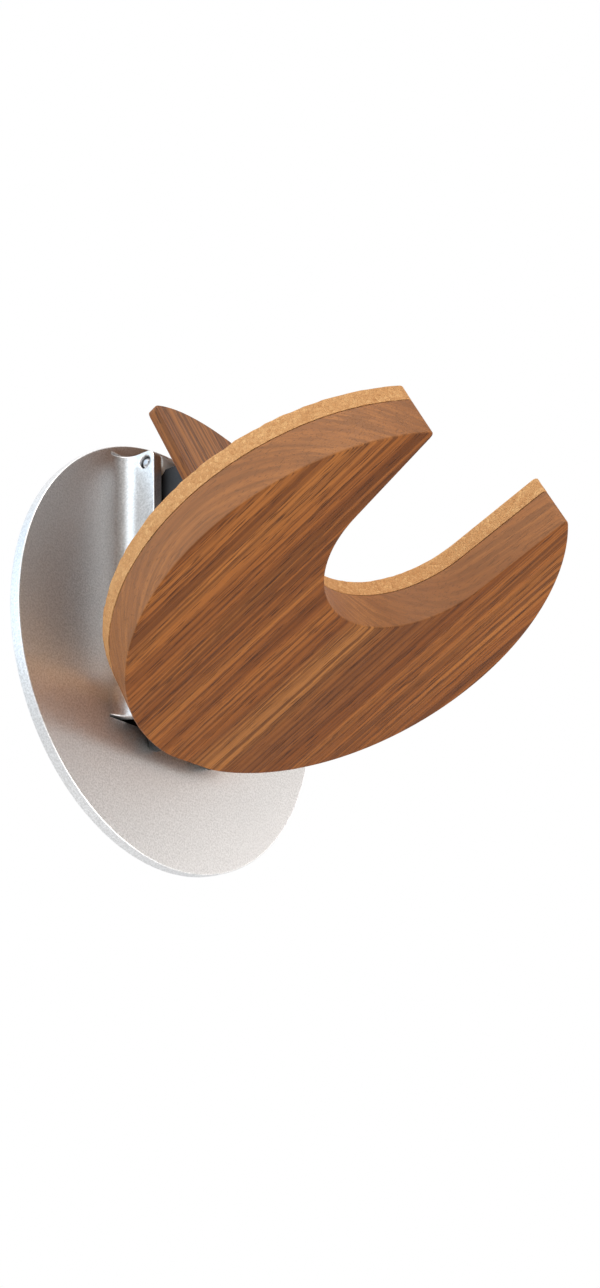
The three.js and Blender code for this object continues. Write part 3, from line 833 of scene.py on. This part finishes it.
for word, side in SIDES:
    rest_screw_at = on_board([(side * REST_SCREW_X, REST_SCREW_BACK, REST_SCREW_UP)])[0]
    fork_screw_at = on_board([(side * FORK_SCREW_X, FORK_SCREW_BACK, FORK_SCREW_UP)])[0]
    add(dowel(word, side), YOKE, "birch", f"dowel_{word}")
    add_screw(rest_kind, f"rest_screw_{word}", rest_screw_at, along_board((0, -1, 0)),
              YOKE, f"rest_screw_threaded_{word}")
    add_screw(fork_kind, f"fork_screw_{word}", fork_screw_at, along_board((0, 0, -1)),
              YOKE, f"fork_screw_threaded_{word}")
    add(bumper(word, side), YOKE, "rubber", f"bumper_{word}")

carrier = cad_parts["carrier"]
carrier.data.materials.clear()
carrier.data.materials.append(BLACK_PLASTIC)
shade_smooth(carrier.data, 32)
add_bevel(carrier, 0.5)

for kind in (wall_kind, plate_kind, rest_kind, fork_kind):
    bpy.data.objects.remove(kind)


# ---------- floor, light and camera ----------
FLOOR_HALF, FLOOR_BOTTOM, FLOOR_TOP = 25000, -920, -900


def floor():
    """A wide, pale floor well below the hanger."""
    s = Shader("pale_floor", 0.75)
    cloud = s.grain((900, 900, 900), detail=2)
    fine = s.grain((2, 2, 2), detail=2)
    tone = s.ramp(cloud, [(0.3, (0.93, 0.915, 0.9)), (0.7, (0.945, 0.93, 0.915))])
    material = s.done(tone, None, s.bump(fine, 0.2, 0.2))
    slab = block((-FLOOR_HALF, -FLOOR_HALF, FLOOR_BOTTOM), (FLOOR_HALF, FLOOR_HALF, FLOOR_TOP))
    build("floor", *slab, material)


# Soft patches of the studio, which the metal mirrors. Each is (direction, cosine of its outer
# edge's angle, cosine of its inner edge's angle, colour).
STUDIO_PATCHES = (
    ((-0.25, -0.85, 0.45), 0.5, 0.9, (0.14, 0.135, 0.13)),
    ((0.65, -0.7, 0.29), 0.85, 1.0, (0.17, 0.165, 0.165)),
    ((0.9, -0.42, -0.05), 0.91, 0.96, (2.9, 2.8, 2.7)),
    ((-0.95, 0.0, 0.35), 0.8, 0.98, (0.66, 0.74, 0.82)),
    ((-0.75, 0.58, 0.36), 0.6, 0.93, (0.9, 1.1, 1.3)),
)


def studio_world():
    """A white studio with darker and brighter patches. The camera itself sees plain white."""
    world = bpy.data.worlds.new("studio")
    bpy.context.scene.world = world
    world.use_nodes = True
    tree = world.node_tree

    def blended(amount, base, tint):
        """A colour that goes from base to tint."""
        blend = tree.nodes.new("ShaderNodeMix")
        blend.data_type = "RGBA"
        tree.links.new(amount, blend.inputs[0])
        for socket, value in ((blend.inputs[6], base), (blend.inputs[7], tint)):
            if isinstance(value, bpy.types.NodeSocket):
                tree.links.new(value, socket)
            else:
                socket.default_value = (*value, 1)
        return blend.outputs[2]

    place = tree.nodes.new("ShaderNodeTexCoord")
    white = (1.0, 1.0, 1.0)
    color = white
    for direction, outer, inner, tint in STUDIO_PATCHES:
        dot = tree.nodes.new("ShaderNodeVectorMath")
        dot.operation = "DOT_PRODUCT"
        tree.links.new(place.outputs["Generated"], dot.inputs[0])
        dot.inputs[1].default_value = Vector(direction).normalized()
        spread = tree.nodes.new("ShaderNodeMapRange")
        spread.interpolation_type = "SMOOTHSTEP"
        spread.inputs["From Min"].default_value = outer
        spread.inputs["From Max"].default_value = inner
        tree.links.new(dot.outputs["Value"], spread.inputs["Value"])
        color = blended(spread.outputs["Result"], color, tint)
    path = tree.nodes.new("ShaderNodeLightPath")
    color = blended(path.outputs["Is Camera Ray"], color, white)
    tree.links.new(color, tree.nodes["Background"].inputs["Color"])
    tree.nodes["Background"].inputs["Strength"].default_value = 1.0


LAMP_SPREAD = math.radians(110)


def lamp(name, at, size, power, color):
    """A square lamp that faces the hanger and stays out of the picture."""
    light = bpy.data.lights.new(name, "AREA")
    light.size, light.energy, light.color = size, power, color
    light.spread = LAMP_SPREAD
    made = bpy.data.objects.new(name, light)
    bpy.context.scene.collection.objects.link(made)
    made.location = at
    made.rotation_mode = "QUATERNION"
    made.rotation_quaternion = (-Vector(at)).to_track_quat("-Z", "Y")
    made.visible_camera = False


def camera():
    """The photograph's camera."""
    data = bpy.data.cameras.new("photo_view")
    data.sensor_width = CAMERA_SENSOR
    data.lens = CAMERA_LENS
    data.clip_start, data.clip_end = 0.01, 100
    made = bpy.data.objects.new("photo_view", data)
    bpy.context.scene.collection.objects.link(made)
    level = math.cos(CAMERA_ELEVATION)
    ahead = Vector((
        math.sin(CAMERA_AZIMUTH) * level, math.cos(CAMERA_AZIMUTH) * level, math.sin(CAMERA_ELEVATION)))
    right = ahead.cross(Vector((0, 0, 1))).normalized()
    up = right.cross(ahead)
    right, up = (right * math.cos(CAMERA_ROLL) + up * math.sin(CAMERA_ROLL),
                 up * math.cos(CAMERA_ROLL) - right * math.sin(CAMERA_ROLL))
    turn = Matrix((right, up, -ahead)).transposed().to_4x4()
    made.matrix_world = Matrix.Translation(CAMERA_AT) @ turn
    bpy.context.scene.camera = made


floor()
studio_world()
lamp("top", (-0.4, -0.35, 1.2), 0.8, 3.5, (1.0, 0.98, 0.94))
lamp("side", (-1.3, 0.05, 0.25), 1.9, 5, (0.85, 0.95, 1.0))
lamp("under", (0.1, -0.9, -0.75), 0.8, 4.2, (1.0, 0.96, 0.9))
camera()
bpy.context.scene.view_settings.view_transform = "Standard"
